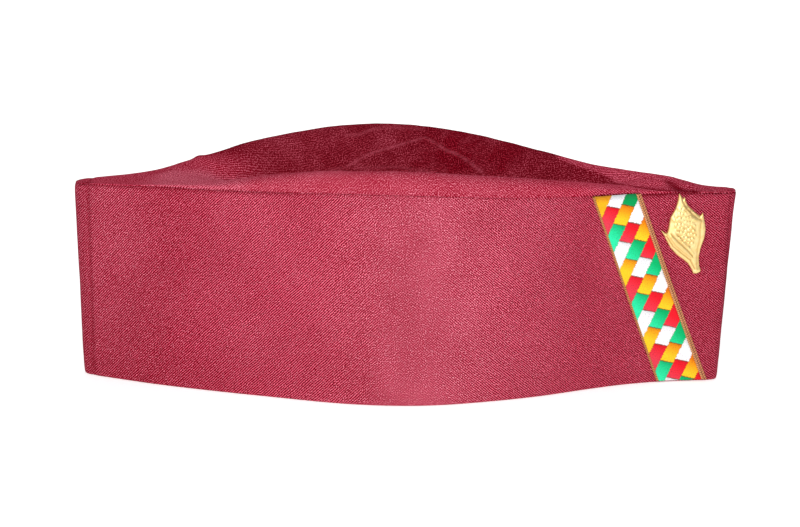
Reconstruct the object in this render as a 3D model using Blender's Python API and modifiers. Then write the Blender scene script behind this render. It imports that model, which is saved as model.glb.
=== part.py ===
"""A pahadi cap: a boat-shaped cloth cap with a slanted woven ribbon and a cast flower badge.

Two side panels of stiffened cloth meet at the front and back tips. A soft crown is sewn along
their top edges and sinks into a valley between two ridges. +X points to the trimmed tip, -Y to
the side that carries the ribbon and the badge, and +Z up. The origin lies on the ground under
the middle of the cap. All lengths are in metres.
"""

import math
from collections import namedtuple

import bmesh
import bpy
from mathutils import Matrix, Vector

# The side panels.
RIM_LENGTH = 0.2682
TOP_LENGTH = 0.2746
RIM_SETBACK = 0.0016
RIM_HALF_WIDTH = 0.0464
TOP_HALF_WIDTH = 0.0383
TIP_RADIUS = 0.004
TIP_SQUARENESS = 67
PANEL_HEIGHT = 0.0858
PANEL_THICKNESS = 0.002
PANEL_BELLY = 0.0008
DENT_DEPTH = 0.0012
EDGE_ROUNDING = 0.0006
CLEARANCE = 0.0003

# The crown.
CROWN_THICKNESS = 0.0015
CROWN_RISE = 0.0168
RIDGE_INSET = 0.0048
CROWN_PUFF = 0.0012
CROWN_REACH_SHARE = 0.985
TIP_CORE_SHARE = 0.6
PLEAT_DEPTH = 0.0028
PLEAT_APEX_SHARE = 0.045
PLEAT_SPREAD_SHARE = 0.34

# The ribbon.
RIBBON_WIDTH = 0.0204
RIBBON_THICKNESS = 0.001
RIBBON_EDGE_SHARE = 0.6
RIBBON_FROM_TIP = 0.0600
RIBBON_RUN = 0.0358
RIBBON_FOOT_LIFT = 0.0004

# The badge and its pin.
BADGE_HEIGHT = 0.035
BADGE_TILT = math.radians(13)
BADGE_FROM_TIP = 0.0176
BADGE_FROM_SEAM = 0.0174
BADGE_STANDOFF = 0.0005
PIN_RADIUS = 0.0007
CLUTCH_RADIUS = 0.004
CLUTCH_THICKNESS = 0.0014

# How finely each piece is faceted.
PANEL_STATIONS = 46
PANEL_ROWS = 6
CROWN_STATIONS = 46
STRIP_STEPS = 3
SLOPE_STEPS = 5
RIBBON_ROWS = 14
RIBBON_COLUMNS = 6
LEAF_STEPS = 6
PIN_SIDES = 16

# along runs from -1 at the plain tip to 1 at the trimmed tip. spread is the share of the half
# width that a panel stands out there, and height the share of the panel height.
PanelRow = namedtuple("PanelRow", "along spread height")
PANEL_TABLE = [
    PanelRow(-1.00, 0.000, 0.965),
    PanelRow(-0.90, 0.145, 0.974),
    PanelRow(-0.75, 0.355, 0.979),
    PanelRow(-0.55, 0.580, 0.981),
    PanelRow(-0.35, 0.775, 0.986),
    PanelRow(-0.18, 0.935, 0.998),
    PanelRow(-0.03, 1.000, 0.999),
    PanelRow(0.12, 0.975, 0.992),
    PanelRow(0.30, 0.810, 0.973),
    PanelRow(0.45, 0.615, 0.962),
    PanelRow(0.58, 0.390, 0.950),
    PanelRow(0.70, 0.205, 0.944),
    PanelRow(0.82, 0.085, 0.940),
    PanelRow(1.00, 0.000, 0.934),
]

# A soft dent in the panels: its middle along the cap and up the panel, its reach along and up,
# and its share of the dent depth.
Dent = namedtuple("Dent", "along up reach rise depth")
DENT_TABLE = [
    Dent(-0.68, 0.62, 0.16, 0.30, 1.0),
    Dent(-0.31, 0.66, 0.12, 0.28, 0.7),
    Dent(-0.50, 0.25, 0.20, 0.20, 0.5),
    Dent(0.34, 0.45, 0.14, 0.40, 0.6),
]

# near_ridge, far_ridge and floor are heights above the seam, as shares of the crown's rise.
CrownRow = namedtuple("CrownRow", "along near_ridge far_ridge floor")
CROWN_TABLE = [
    CrownRow(-1.00, 0.05, 0.05, 0.05),
    CrownRow(-0.90, 0.05, 0.05, 0.05),
    CrownRow(-0.80, 0.06, 0.07, 0.06),
    CrownRow(-0.71, 0.08, 0.16, 0.13),
    CrownRow(-0.64, 0.12, 0.37, 0.12),
    CrownRow(-0.59, 0.15, 0.44, 0.02),
    CrownRow(-0.51, 0.21, 0.67, -0.25),
    CrownRow(-0.40, 0.37, 0.85, -0.65),
    CrownRow(-0.25, 0.51, 0.97, -1.00),
    CrownRow(-0.05, 0.55, 1.02, -1.20),
    CrownRow(0.13, 0.54, 0.93, -1.20),
    CrownRow(0.30, 0.48, 0.79, -1.00),
    CrownRow(0.45, 0.37, 0.58, -0.60),
    CrownRow(0.58, 0.26, 0.43, -0.10),
    CrownRow(0.70, 0.14, 0.37, 0.20),
    CrownRow(0.82, 0.08, 0.29, 0.23),
    CrownRow(0.90, 0.07, 0.14, 0.12),
    CrownRow(1.00, 0.07, 0.09, 0.08),
]

# The badge's leaves from foot through bend to point, and their girth, as shares of its height.
# side is measured from the badge's axis and up from the foot of its stem. relief is how far a
# leaf stands out, as a share of its girth. The last leaf is the bud.
Leaf = namedtuple("Leaf", "foot_side foot_up bend_side bend_up tip_side tip_up girth relief")
LEAF_TABLE = [
    Leaf(0.00, 0.12, -0.25, 0.26, -0.28, 0.59, 0.050, 0.75),
    Leaf(0.02, 0.12, 0.19, 0.28, 0.21, 0.67, 0.050, 0.75),
    Leaf(0.00, 0.14, -0.20, 0.34, -0.20, 0.66, 0.062, 1.00),
    Leaf(0.02, 0.14, 0.15, 0.38, 0.17, 0.70, 0.058, 1.00),
    Leaf(0.01, 0.10, -0.02, 0.50, 0.00, 0.98, 0.200, 0.38),
]

# The florets on the bud, as shares of the badge's height.
Floret = namedtuple("Floret", "side up size")
FLORET_TABLE = [
    Floret(-0.08, 0.40, 0.040),
    Floret(0.04, 0.38, 0.040),
    Floret(-0.13, 0.52, 0.040),
    Floret(-0.02, 0.50, 0.044),
    Floret(0.09, 0.52, 0.038),
    Floret(-0.09, 0.63, 0.040),
    Floret(0.02, 0.63, 0.044),
    Floret(-0.04, 0.74, 0.038),
    Floret(0.04, 0.77, 0.032),
]

# More shares of the badge's height: the stem's length and girth, and how high the leaves' middles
# lie. A leaf starts and ends at these shares of a half turn, so that it has blunt ends.
STEM_LENGTH_SHARE = 0.22
STEM_GIRTH_SHARE = 0.045
LEAF_RISE_SHARE = 0.018
STEM_TAPER_SHARE = 0.8
LEAF_START_SHARE = 0.06
LEAF_END_SHARE = 0.95


def value_at(table, column, along):
    """The column's value at a station, on a smooth curve through the table's rows."""
    rows = [(row.along, getattr(row, column)) for row in table]
    along = min(max(along, rows[0][0]), rows[-1][0])
    last = len(rows) - 1
    index = max(i for i in range(last) if rows[i][0] <= along)

    def slope(i):
        before, after = rows[max(i - 1, 0)], rows[min(i + 1, last)]
        return (after[1] - before[1]) / (after[0] - before[0])

    (start, low), (end, high) = rows[index], rows[index + 1]
    span = end - start
    t = (along - start) / span
    leave = t * (1 - t) ** 2 * span * slope(index)
    arrive = t * t * (1 - t) * span * slope(index + 1)
    return mix(low, high, t * t * (3 - 2 * t)) + leave - arrive


def mix(low, high, share):
    return low + (high - low) * share


def clamp(value, low=0.0, high=1.0):
    return min(max(value, low), high)


def seam_height(along):
    """The height of the panels' top edge."""
    return PANEL_HEIGHT * value_at(PANEL_TABLE, "height", along)


def half_length(share):
    """Half the cap's length at a share of the panel's height."""
    return mix(RIM_LENGTH, TOP_LENGTH, share) / 2


def cap_x(along, share):
    """A station's place along the cap. The rim sits a little further back than the top."""
    return half_length(share) * along - RIM_SETBACK * (1 - share)


def dent_at(along, share):
    """How far the soft dents press the panel in."""
    total = 0.0
    for dent in DENT_TABLE:
        far = ((along - dent.along) / dent.reach) ** 2 + ((share - dent.up) / dent.rise) ** 2
        total += dent.depth * math.exp(-far)
    return DENT_DEPTH * total * math.sin(math.pi * share)


def half_width(along, share):
    """How far a panel's outer face stands from the middle plane."""
    belly = PANEL_BELLY * math.sin(math.pi * share) - dent_at(along, share)
    widest = mix(RIM_HALF_WIDTH, TOP_HALF_WIDTH, share) - TIP_RADIUS
    round_tip = TIP_RADIUS * math.sqrt(max(0.0, 1 - abs(along) ** TIP_SQUARENESS))
    spread = value_at(PANEL_TABLE, "spread", along)
    return CLEARANCE / 2 + widest * spread + belly * clamp(3 * spread) + round_tip


def station(index, count, reach=1.0):
    """Stations close together at the tips and further apart in the middle, as an angle."""
    return math.pi / 2 * reach * (2 * index / count - 1)


def panel_outline(turn, share):
    """A point of the near panel's outer face in plan."""
    along = math.sin(turn)
    return Vector((cap_x(along, share), -half_width(along, share)))


def panel_outward(turn, share):
    """The direction that the near panel's outer face looks in plan."""
    step = 0.002
    if abs(turn) > math.pi / 2 - step:
        return Vector((math.copysign(1.0, turn), 0.0))
    run = panel_outline(turn + step, share) - panel_outline(turn - step, share)
    return Vector((run.y, -run.x)).normalized()


def panel_point(turn, share, inset=0.0, lift=0.0):
    """A point of the near panel, inset from its outer face, at a share of its height."""
    plan = panel_outline(turn, share) - panel_outward(turn, share) * inset
    height = seam_height(math.sin(turn)) * share + lift
    return Vector((plan.x, plan.y, height))


def turn_after(turn, share, distance):
    """The station reached by following the near panel a distance along its face."""
    steps = 24
    nudge = 1e-4
    for _ in range(steps):
        run = panel_outline(turn + nudge, share) - panel_outline(turn, share)
        turn += distance / steps / (run.length / nudge)
    return turn


def loft(name, sections):
    """A closed body through closed sections, each one an outer line and an inner line back."""
    shape = bmesh.new()
    rings = [[shape.verts.new(point) for point in section] for section in sections]
    size = len(rings[0])
    for ring, following in zip(rings, rings[1:]):
        for i in range(size):
            j = (i + 1) % size
            shape.faces.new((ring[i], ring[j], following[j], following[i]))
    for ring in (rings[0], rings[-1]):
        for i in range(size // 2 - 1):
            shape.faces.new((ring[i], ring[i + 1], ring[size - 2 - i], ring[size - 1 - i]))
    bmesh.ops.recalc_face_normals(shape, faces=shape.faces)
    mesh = bpy.data.meshes.new(name)
    shape.to_mesh(mesh)
    shape.free()
    return mesh


def add(name, mesh, collection, place=Matrix()):
    """Puts a mesh in one of the collections as a named object."""
    thing = bpy.data.objects.new(name, mesh)
    thing.matrix_world = place
    bpy.data.collections[collection].objects.link(thing)
    return thing


def finish(thing, colour, roughness, metallic=0.0, crease=40):
    """Gives a piece its own material and smooth shading up to its creases."""
    material = bpy.data.materials.new(thing.name)
    material.use_nodes = True
    surface = material.node_tree.nodes["Principled BSDF"]
    surface.inputs["Base Color"].default_value = (*colour, 1.0)
    surface.inputs["Roughness"].default_value = roughness
    surface.inputs["Metallic"].default_value = metallic
    thing.data.materials.clear()
    thing.data.materials.append(material)
    thing.data.shade_smooth()
    thing.data.set_sharp_from_angle(angle=math.radians(crease))


def make_cutter(name, mesh, place=Matrix()):
    """An object that only shapes others."""
    cutter = add(name, mesh, "cutters", place)
    cutter.display_type = "WIRE"
    cutter.hide_render = True
    return cutter


def cut(thing, cutter, operation="DIFFERENCE"):
    """Cuts or joins a piece with a cutter."""
    boolean = thing.modifiers.new(cutter.name, "BOOLEAN")
    boolean.operation = operation
    boolean.solver = "EXACT"
    boolean.object = cutter
    return boolean


def panel_section(turn):
    """The panel's closed section at a station, with softened rim and top edges."""
    soft, thick = EDGE_ROUNDING, PANEL_THICKNESS
    shares = [row / PANEL_ROWS for row in range(1, PANEL_ROWS)]
    outer = [(soft, 0, 0), (0, 0, soft)] + [(0, share, 0) for share in shares]
    outer += [(0, 1, -soft), (soft, 1, 0)]
    inner = [(thick - inset, share, lift) for inset, share, lift in reversed(outer)]
    return [panel_point(turn, share, inset, lift) for inset, share, lift in outer + inner]


def make_side_panels():
    """The two side panels, one on each side of the middle plane."""
    sections = [panel_section(station(i, PANEL_STATIONS)) for i in range(PANEL_STATIONS + 1)]
    near = add("near_side_panel", loft("near_side_panel", sections), "pahadi_cap")
    mirrored = near.data.copy()
    mirrored.transform(Matrix.Diagonal((1, -1, 1, 1)))
    mirrored.flip_normals()
    far = add("far_side_panel", mirrored, "pahadi_cap")
    finish(near, (0.27, 0.022, 0.06), 0.85)
    finish(far, (0.27, 0.022, 0.06), 0.85)
    return near


def pleat(along, climb):
    """How far the triangular pleat on the far slope sinks at a share of the climb to the ridge."""
    across = clamp(1 - abs(along - PLEAT_APEX_SHARE) / PLEAT_SPREAD_SHARE - climb)
    return PLEAT_DEPTH * clamp(across * 4) * clamp(climb * 6)


def strip_lines(width, inset, rise, hollow):
    """The crown's outer and inner lines from a seam up to the ridge, as side and height."""
    over, under = [], []
    for i in range(STRIP_STEPS):
        turn = math.pi / 2 * i / STRIP_STEPS
        back = 1 - math.cos(turn)
        plain = width - inset * back
        lining = width - CROWN_THICKNESS - (inset - CROWN_THICKNESS) * back
        puff = CROWN_PUFF * hollow * math.sin(2 * turn)
        over.append((plain + puff, rise * math.sin(turn)))
        room = max(rise - CROWN_THICKNESS, 0.0) * hollow * math.sin(turn)
        under.append((mix(TIP_CORE_SHARE * plain, lining, hollow), room))
    return over, under


def slope_lines(reach, rise, floor, hollow, sinks):
    """The crown's outer and inner lines from a ridge down to the middle of the valley."""
    over, under = [], []
    for i, sink in enumerate(sinks):
        climb = 1 - i / SLOPE_STEPS
        height = mix(floor, rise, climb * climb * (3 - 2 * climb)) - sink
        steepness = 6 * (rise - floor) * climb * (1 - climb) / reach
        drop = CROWN_THICKNESS * math.hypot(1, steepness)
        over.append((reach * climb, height))
        under.append((reach * climb * mix(TIP_CORE_SHARE, 1, hollow), (height - drop) * hollow))
    return over, under


def crown_section(turn):
    """The crown's closed section at a station. It is solid where the panels close at the tips."""
    along = math.sin(turn)
    width = half_width(along, 1.0)
    fade = clamp(width / TIP_RADIUS)
    hollow = clamp(width / TIP_RADIUS - 1)
    inset = min(RIDGE_INSET, width / 2)
    near, far, floor = (
        CROWN_RISE * fade * value_at(CROWN_TABLE, column, along)
        for column in ("near_ridge", "far_ridge", "floor")
    )
    level = [0.0] * (SLOPE_STEPS + 1)
    pleated = [pleat(along, 1 - i / SLOPE_STEPS) for i in range(SLOPE_STEPS)]
    near_strip = strip_lines(width, inset, near, hollow)
    near_slope = slope_lines(width - inset, near, floor, hollow, level)
    far_strip = strip_lines(width, inset, far, hollow)
    far_slope = slope_lines(width - inset, far, floor, hollow, pleated)
    x = cap_x(along, 1.0)
    base = seam_height(along) + CLEARANCE
    lines = []
    for skin in (0, 1):
        near_side = [(-side, height) for side, height in near_strip[skin] + near_slope[skin]]
        across = near_side + (far_strip[skin] + far_slope[skin])[::-1]
        lines.append([Vector((x, side, base + height)) for side, height in across])
    outer, inner = lines
    return outer + inner[::-1]


def make_crown():
    """The crown, sewn along the tops of both side panels."""
    turns = [station(i, CROWN_STATIONS, CROWN_REACH_SHARE) for i in range(CROWN_STATIONS + 1)]
    crown = add("crown", loft("crown", [crown_section(turn) for turn in turns]), "pahadi_cap")
    finish(crown, (0.22, 0.016, 0.045), 0.85)


def turn_from_tip(distance, share):
    """The station that lies a distance from the trimmed tip, measured along the cap."""
    return math.asin(1 - distance / half_length(share))


def ribbon_section(share, cover):
    """The ribbon's closed section at a share of the panel's height."""
    height = seam_height(1 - RIBBON_FROM_TIP / half_length(1.0))
    level_width = RIBBON_WIDTH * math.hypot(height, RIBBON_RUN) / height
    edge = turn_after(turn_from_tip(RIBBON_FROM_TIP, 1.0), share, RIBBON_RUN * (1 - share))
    shares = [i / RIBBON_COLUMNS for i in range(RIBBON_COLUMNS + 1)]
    turns = [turn_after(edge, share, level_width * i) for i in shares]
    back = -CLEARANCE
    fronts = [back - cover * (1.0 if 0 < i < 1 else RIBBON_EDGE_SHARE) for i in shares]
    face = [panel_point(turn, share, front) for turn, front in zip(turns, fronts)]
    return face + [panel_point(turn, share, back) for turn in reversed(turns)]


def make_ribbon():
    """The woven ribbon, slanting down the near panel from the seam to the rim."""
    foot = RIBBON_FOOT_LIFT / PANEL_HEIGHT
    shares = [mix(foot, 1.0, row / RIBBON_ROWS) for row in range(RIBBON_ROWS + 1)]
    covers = [RIBBON_THICKNESS] * RIBBON_ROWS + [RIBBON_THICKNESS * RIBBON_EDGE_SHARE]
    sections = [ribbon_section(share, cover) for share, cover in zip(shares, covers)]
    ribbon = add("ribbon", loft("ribbon", sections), "pahadi_cap")
    finish(ribbon, (0.75, 0.55, 0.25), 0.6)


def badge_place():
    """The middle of the badge's flat back: X along the wall, Y up it and Z outwards."""
    share = 1 - BADGE_FROM_SEAM / PANEL_HEIGHT
    turn = turn_from_tip(BADGE_FROM_TIP, share)
    middle = panel_point(turn, share)
    step = 0.02
    upward = (panel_point(turn, share + step) - middle).normalized()
    onward = panel_point(turn + step, share) - panel_point(turn - step, share)
    outward = onward.cross(upward).normalized()
    onward = upward.cross(outward)
    axes = Matrix((onward, upward, outward)).transposed().to_4x4()
    return Matrix.Translation(middle) @ axes


def leaf(name, row):
    """One cast leaf: a tapered tube along a bend, flattened against the badge's back."""
    curve = bpy.data.curves.new(name, "CURVE")
    curve.dimensions = "3D"
    curve.bevel_depth = 1.0
    curve.bevel_resolution = 2
    curve.use_fill_caps = True
    spline = curve.splines.new("POLY")
    spline.points.add(LEAF_STEPS)
    foot = Vector((row.foot_side, row.foot_up))
    bend = Vector((row.bend_side, row.bend_up))
    tip = Vector((row.tip_side, row.tip_up))
    for i, point in enumerate(spline.points):
        t = i / LEAF_STEPS
        side, up = foot.lerp(bend, t).lerp(bend.lerp(tip, t), t)
        point.co = (side * BADGE_HEIGHT, (up - 0.5) * BADGE_HEIGHT, 0, 1)
        point.radius = row.girth * BADGE_HEIGHT * math.sin(math.pi * mix(LEAF_START_SHARE, LEAF_END_SHARE, t))
    tube = add(name, curve, "cutters")
    bpy.context.view_layer.update()
    solid = bpy.data.meshes.new_from_object(tube.evaluated_get(bpy.context.evaluated_depsgraph_get()))
    bpy.data.objects.remove(tube)
    welded = bmesh.new()
    welded.from_mesh(solid)
    bmesh.ops.remove_doubles(welded, verts=welded.verts, dist=1e-6)
    bmesh.ops.recalc_face_normals(welded, faces=welded.faces)
    welded.transform(Matrix.Diagonal((1, 1, row.relief, 1)))
    welded.transform(Matrix.Translation((0, 0, LEAF_RISE_SHARE * BADGE_HEIGHT)))
    return welded


def badge_solids():
    """The badge's leaves, stem and florets, as overlapping solids in one mesh."""
    mesh = bpy.data.meshes.new("flower_badge")
    solids = bmesh.new()
    for number, row in enumerate(LEAF_TABLE):
        blade = leaf(f"leaf_{number}", row)
        blade.to_mesh(mesh)
        blade.free()
        solids.from_mesh(mesh)
    size = BADGE_HEIGHT
    rise = LEAF_RISE_SHARE * size
    girth = STEM_GIRTH_SHARE * size
    lying = Matrix.Rotation(math.radians(-90), 4, "X")
    stem = Matrix.Translation((0, (STEM_LENGTH_SHARE / 2 - 0.5) * size, rise)) @ lying
    bmesh.ops.create_cone(
        solids, segments=10, radius1=girth, radius2=girth * STEM_TAPER_SHARE,
        depth=STEM_LENGTH_SHARE * size, cap_ends=True, matrix=stem,
    )
    bud = LEAF_TABLE[-1].girth * LEAF_TABLE[-1].relief * size
    for floret in FLORET_TABLE:
        at = Matrix.Translation((floret.side * size, (floret.up - 0.5) * size, rise + bud * 0.8))
        bmesh.ops.create_icosphere(solids, subdivisions=1, radius=floret.size * size, matrix=at)
    bmesh.ops.recalc_face_normals(solids, faces=solids.faces)
    solids.to_mesh(mesh)
    solids.free()
    return mesh


def make_badge(place):
    """The cast flower badge, flat at its back and standing just off the cloth."""
    tilted = place @ Matrix.Translation((0, 0, BADGE_STANDOFF)) @ Matrix.Rotation(BADGE_TILT, 4, "Z")
    badge = add("flower_badge", badge_solids(), "pahadi_cap", tilted)
    block = bmesh.new()
    bmesh.ops.create_cube(block, size=2 * BADGE_HEIGHT)
    front = bpy.data.meshes.new("badge_front_half")
    block.to_mesh(front)
    block.free()
    half = make_cutter(front.name, front, tilted @ Matrix.Translation((0, 0, BADGE_HEIGHT)))
    cut(badge, half, "INTERSECT").use_self = True
    weld = badge.modifiers.new("Weld", "WELD")
    weld.merge_threshold = 0.00003
    finish(badge, (0.83, 0.58, 0.22), 0.3, metallic=1.0)


def turned(name, profile, collection, place):
    """A turned piece from radius and height pairs that run down its outer side."""
    mesh = bpy.data.meshes.new(name)
    mesh.from_pydata([(r, 0, z) for r, z in profile], [(i, i + 1) for i in range(len(profile) - 1)], [])
    thing = add(name, mesh, collection, place)
    screw = thing.modifiers.new("Screw", "SCREW")
    screw.steps = PIN_SIDES
    screw.render_steps = PIN_SIDES
    screw.use_merge_vertices = True
    screw.merge_threshold = 1e-5
    return thing


def make_pin(place, panel):
    """The badge's pin: a post through the cloth with a clutch on its inner end."""
    front = BADGE_STANDOFF - CLEARANCE
    clutch_front = -PANEL_THICKNESS - CLEARANCE
    back = clutch_front - CLUTCH_THICKNESS
    profile = [
        (0, front), (PIN_RADIUS, front), (PIN_RADIUS, clutch_front),
        (CLUTCH_RADIUS, clutch_front), (CLUTCH_RADIUS, back), (0, back),
    ]
    pin = turned("badge_pin", profile, "pahadi_cap", place)
    finish(pin, (0.75, 0.62, 0.35), 0.35, metallic=1.0)
    bore = PIN_RADIUS + CLEARANCE
    reach = 2 * PANEL_THICKNESS
    tool = turned("pin_bore", [(0, reach), (bore, reach), (bore, -reach), (0, -reach)], "cutters", place)
    tool.display_type = "WIRE"
    tool.hide_render = True
    cut(panel, tool)


def build_cap():
    """Builds every piece of the cap."""
    for thing in list(bpy.data.objects):
        bpy.data.objects.remove(thing)
    for name in ("pahadi_cap", "cutters"):
        collection = bpy.data.collections.new(name)
        bpy.context.scene.collection.children.link(collection)
    near_panel = make_side_panels()
    make_crown()
    make_ribbon()
    place = badge_place()
    make_badge(place)
    make_pin(place, near_panel)


build_cap()
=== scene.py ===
import math
from collections import namedtuple

import bmesh
import bpy
import numpy as np
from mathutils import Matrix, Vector, noise
from mathutils.bvhtree import BVHTree


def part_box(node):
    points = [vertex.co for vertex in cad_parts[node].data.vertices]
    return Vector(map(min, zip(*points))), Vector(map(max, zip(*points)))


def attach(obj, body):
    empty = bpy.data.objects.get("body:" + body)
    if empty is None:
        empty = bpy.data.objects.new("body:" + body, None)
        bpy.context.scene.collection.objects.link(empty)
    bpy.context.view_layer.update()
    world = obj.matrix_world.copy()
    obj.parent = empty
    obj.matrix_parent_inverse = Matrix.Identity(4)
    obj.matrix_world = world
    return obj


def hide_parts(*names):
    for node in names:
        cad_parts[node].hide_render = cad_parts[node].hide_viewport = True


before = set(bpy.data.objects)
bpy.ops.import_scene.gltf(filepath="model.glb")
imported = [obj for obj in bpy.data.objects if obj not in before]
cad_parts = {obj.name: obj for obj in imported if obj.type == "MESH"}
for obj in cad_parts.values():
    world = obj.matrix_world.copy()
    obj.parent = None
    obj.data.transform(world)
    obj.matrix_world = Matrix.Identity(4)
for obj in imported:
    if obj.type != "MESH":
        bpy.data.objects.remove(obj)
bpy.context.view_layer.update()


# The view: the cap stands on its own rim on a pale studio floor. The camera stands where the
# photograph's did, a little above the cap and a little towards its trimmed tip.
CAMERA_DISTANCE = 0.9785
CAMERA_HEIGHT_ANGLE = math.radians(13.5)
CAMERA_TURN = math.radians(2.0)
CAMERA_AIM = Vector((-0.0016, 0.0085, 0.0464))
CAMERA_LENS = 103.9
LIGHT_AIM = Vector((0, 0, 0.05))
FLOOR_SIZE = 8
FLOOR_DROP = 0.0002
FLOOR_WHITE = (0.9, 0.9, 0.9, 1)
FLOOR_GLOW = 0.50
ROOM_LIGHT = 0.38
WHITE = (1, 1, 1, 1)

bpy.ops.object.select_all(action="DESELECT")
away = Vector((
    math.sin(CAMERA_TURN) * math.cos(CAMERA_HEIGHT_ANGLE),
    -math.cos(CAMERA_TURN) * math.cos(CAMERA_HEIGHT_ANGLE),
    math.sin(CAMERA_HEIGHT_ANGLE),
))
bpy.ops.object.camera_add(
    location=CAMERA_AIM + away * CAMERA_DISTANCE,
    rotation=away.to_track_quat("Z", "Y").to_euler(),
)
camera = bpy.context.object
camera.data.lens = CAMERA_LENS
camera.data.clip_start = 0.01
bpy.context.scene.camera = camera
bpy.context.scene.view_settings.view_transform = "Standard"


def soft_light(name, place, size, power):
    """A large square studio light that faces the cap."""
    bpy.ops.object.light_add(type="AREA", location=place)
    lamp = bpy.context.object
    lamp.name = name
    lamp.rotation_euler = (Vector(place) - LIGHT_AIM).to_track_quat("Z", "Y").to_euler()
    lamp.data.size = size
    lamp.data.energy = power


def shader(name, roughness, metallic=0.0):
    """A new material with its node tree and its Principled shader."""
    material = bpy.data.materials.new(name)
    material.use_nodes = True
    surface = material.node_tree.nodes["Principled BSDF"]
    surface.inputs["Roughness"].default_value = roughness
    surface.inputs["Metallic"].default_value = metallic
    return material, material.node_tree, surface


soft_light("front_light", (0.0, -0.50, 0.30), 0.20, 1.95)
soft_light("left_light", (-1.2, -0.9, 0.5), 0.8, 1.2)
soft_light("back_light", (0.2, 1.3, 0.9), 0.8, 9)

bpy.ops.mesh.primitive_plane_add(size=FLOOR_SIZE, location=(0, 0, -FLOOR_DROP))
floor = bpy.context.object
floor.name = "studio_floor"
floor_paint, tree, surface = shader("floor_paint", 0.9)
surface.inputs["Base Color"].default_value = FLOOR_WHITE
surface.inputs["Emission Color"].default_value = WHITE
surface.inputs["Emission Strength"].default_value = FLOOR_GLOW
floor.data.materials.append(floor_paint)
room = bpy.data.worlds.new("studio_room")
room.use_nodes = True
room.node_tree.nodes["Background"].inputs["Color"].default_value = WHITE
room.node_tree.nodes["Background"].inputs["Strength"].default_value = ROOM_LIGHT
bpy.context.scene.world = room


# The side walls: wine-red cotton twill over a stiff interlining, cut as two like panels and
# sewn together at the front and back tips. The near wall is the far one mirrored, so it has no
# hole where the badge's pin goes through.
WALL_LEVELS = 3
WALL_WRINKLE = 0.00030
WALL_WRINKLE_SIZE = 0.034
SEAM_PUCKER = 0.00008
PUCKER_LENGTH = 0.0035
PUCKER_HEIGHT = 0.02
PUCKER_REACH = 0.006
RIM_STILL = 0.01
SEWN_FROM = 0.115
SEWN_REACH = 0.0008
SEWN_GAP = 0.0003
TURNED_IN_FROM = 0.130
TURNED_IN_REACH = 0.003

# The upper corner at the trimmed tip is turned out, and the plain tip's edge is lower by a share.
# Each one's pair is where along the cap it starts and the run over which it comes in.
CORNER = (0.127, 0.009)
CORNER_REACH = 0.0009
CORNER_LIFT = 0.3
CORNER_HEIGHT = 0.007
PLAIN_TIP = (0.100, 0.02)
PLAIN_TIP_DROP = 0.007

# The folds pressed in near the tips: each one's place along the cap, its width and its depth.
TIP_FOLDS = ((-0.1310, 0.0009, 0.00030), (0.1350, 0.0008, 0.00025))
# Painted shade in the folds, on the cloth beyond them towards each tip, and towards the trimmed end.
FOLD_EDGE = 0.0012
FOLD_PAINTED_SHADE = 0.45
BEYOND_FOLD_PAINTED_SHADE = 0.16
WALL_END = (0.098, 0.015)
WALL_END_PAINTED_SHADE = 0.12

# The seam along the top is slack in its middle and tight beyond it. Its painted shadow is a fine
# line under the crown's roll, darker where it is tight and darkest beside the badge.
SEAM_MIDDLE = 0.022
SEAM_SLACK = (0.03, 0.05)
SEAM_LINE = 0.0010
SLACK_SEAM_PAINTED_SHADE = 0.12
TIGHT_SEAM_PAINTED_SHADE = 0.38
BADGE_SEAM = 0.104
BADGE_SEAM_LENGTH = 0.009
BADGE_SEAM_LINE = 0.0014
BADGE_SEAM_PAINTED_SHADE = 0.45

# The place along the cap, its painted shade (least in the middle, deepest towards the tips) and how much
# its ribs stand out.
CLOTH_ALONG = (
    (-0.137, 0.55, 0.75), (-0.112, 0.60, 0.75), (-0.100, 0.78, 0.85), (-0.087, 0.95, 1.10),
    (-0.072, 0.75, 1.30), (-0.055, 0.75, 1.40), (-0.037, 0.75, 1.35), (-0.022, 0.45, 1.00),
    (-0.006, 0.14, 0.46), (0.012, 0.04, 0.32), (0.030, 0.10, 0.55), (0.045, 0.45, 1.30),
    (0.062, 0.65, 1.75), (0.076, 1.00, 2.10), (0.137, 1.00, 2.10),
)
# Painted shade low on the plain half: its strength, the height over which it fades, and where along the
# cap it starts and its run.
LOW_PAINTED_SHADE = 0.30
LOW_PAINTED_SHADE_HEIGHT = 0.020
LOW_PAINTED_SHADE_FROM = (0.03, 0.07)


def select_only(thing):
    """Makes one object the only one that an operator acts on."""
    bpy.ops.object.select_all(action="DESELECT")
    thing.select_set(True)
    bpy.context.view_layer.objects.active = thing


def apply_modifier(thing, kind, **settings):
    """Gives the active object a modifier and applies it."""
    modifier = thing.modifiers.new(kind.lower(), kind)
    for setting, value in settings.items():
        setattr(modifier, setting, value)
    bpy.ops.object.modifier_apply(modifier=modifier.name)


def smooth_copy(node, name, levels):
    """A copy of a CAD solid, welded, turned to quads and rounded by subdivision."""
    select_only(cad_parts[node])
    bpy.ops.object.duplicate()
    thing = bpy.context.object
    thing.name = name
    bpy.ops.object.mode_set(mode="EDIT")
    bpy.ops.mesh.select_all(action="SELECT")
    bpy.ops.mesh.remove_doubles(threshold=0.00001)
    bpy.ops.mesh.tris_convert_to_quads(face_threshold=math.radians(60), shape_threshold=math.pi)
    bpy.ops.object.mode_set(mode="OBJECT")
    apply_modifier(thing, "SUBSURF", levels=levels, render_levels=levels)
    thing.data.materials.clear()
    return thing


def vertices_of(thing):
    """The mesh's vertices as an array."""
    flat = np.empty(len(thing.data.vertices) * 3)
    thing.data.vertices.foreach_get("co", flat)
    return flat.reshape(-1, 3)


def put_vertices(thing, places):
    """Moves the mesh's vertices to the places in an array."""
    thing.data.vertices.foreach_set("co", np.ascontiguousarray(places).ravel())
    thing.data.update()


def outward(thing):
    """The directions in which the mesh's vertices look."""
    flat = np.empty(len(thing.data.vertices) * 3)
    thing.data.vertices.foreach_get("normal", flat)
    return flat.reshape(-1, 3)


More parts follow.
